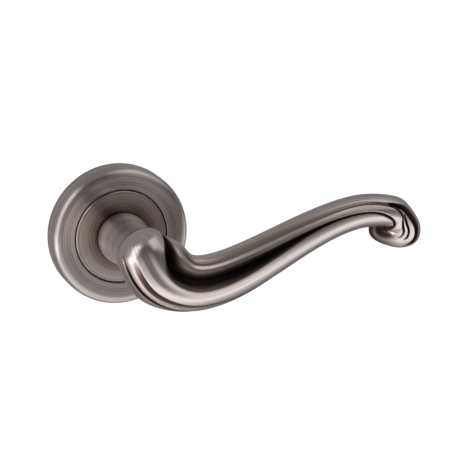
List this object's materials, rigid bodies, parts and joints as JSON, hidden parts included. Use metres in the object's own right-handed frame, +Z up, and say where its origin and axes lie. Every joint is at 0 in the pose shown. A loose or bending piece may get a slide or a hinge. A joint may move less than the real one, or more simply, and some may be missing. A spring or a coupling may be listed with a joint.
{
  "type": "door lever handle",
  "caption": "Scroll-shaped door lever with a fluted arm on a round sprung rose, with its square spindle and through bolts.",
  "frame": {"origin": "where the spindle's axis meets the door face, at the rose's back", "axes": "+Y into the door along the spindle, +Z up, +X along the lever's arm"},
  "size_m": [0.1379, 0.1089, 0.054],
  "materials": {
    "rose_finish": "satin antique nickel, turned grain",
    "disc_finish": "satin antique nickel, turned grain",
    "lever_finish": "satin antique nickel, grain along the arm",
    "zinc": "die-cast zinc, bare",
    "acetal": "natural acetal",
    "hardened_steel": "ground",
    "spring_steel": "oiled",
    "black_steel": "black oxide",
    "plated_steel": "zinc plated",
    "fastener_steel": "zinc plated"
  },
  "bodies": {
    "rose": {"rose_ring": "rose_finish", "spring_housing": "zinc", "backplate": "plated_steel", "neck_bush": "acetal", "snap_ring": "spring_steel", "stop_pin_rest": "fastener_steel", "stop_pin_travel": "fastener_steel", "housing_screw_1": "fastener_steel", "housing_screw_2": "fastener_steel", "housing_screw_3": "fastener_steel", "fixing_bolt_upper": "fastener_steel", "fixing_bolt_lower": "fastener_steel"},
    "lever": {"lever_handle": "lever_finish", "collar_disc": "disc_finish", "drive_cam": "hardened_steel", "thrust_washer": "plated_steel", "circlip": "spring_steel", "grub_screw": "black_steel", "spindle": "plated_steel", "return_spring": "spring_steel"}
  },
  "joints": [
    {"name": "lever_turn", "type": "hinge", "parent": "rose", "child": "lever", "pos_m": [0, 0, 0], "axis": [0, 1, 0], "range_deg": [0, 45], "stiffness_Nm_per_rad": 1, "springref_deg": -22.92, "deforming": ["return_spring"]}
  ]
}
